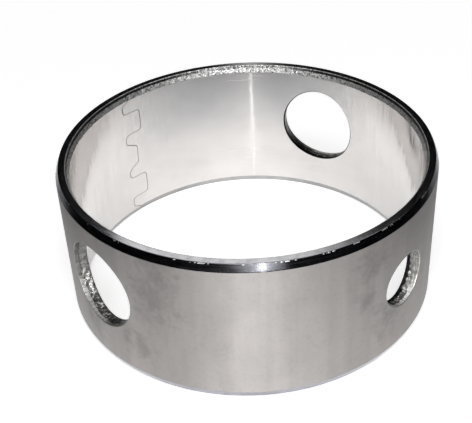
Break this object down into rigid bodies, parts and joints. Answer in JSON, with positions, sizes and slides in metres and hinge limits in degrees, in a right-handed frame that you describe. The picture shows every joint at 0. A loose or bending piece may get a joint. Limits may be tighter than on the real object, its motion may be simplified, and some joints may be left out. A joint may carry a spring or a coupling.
{
  "type": "camshaft bushing",
  "caption": "Thin rolled metal bushing with an interlocked butt seam, bevelled rims and punched oil holes; pressed into an engine block to carry a camshaft journal.",
  "frame": {"origin": "centre of the lower end of the ring, on its axis", "axes": "+Z along the axis of the bore, upwards from the end that it stands on; the seam lies at 135 degrees from +X"},
  "size_m": [0.07, 0.07, 0.029],
  "materials": {
    "bearing_metal": "fine turned satin, silver"
  },
  "bodies": {
    "root": {"bushing_ring": "bearing_metal"}
  },
  "joints": []
}
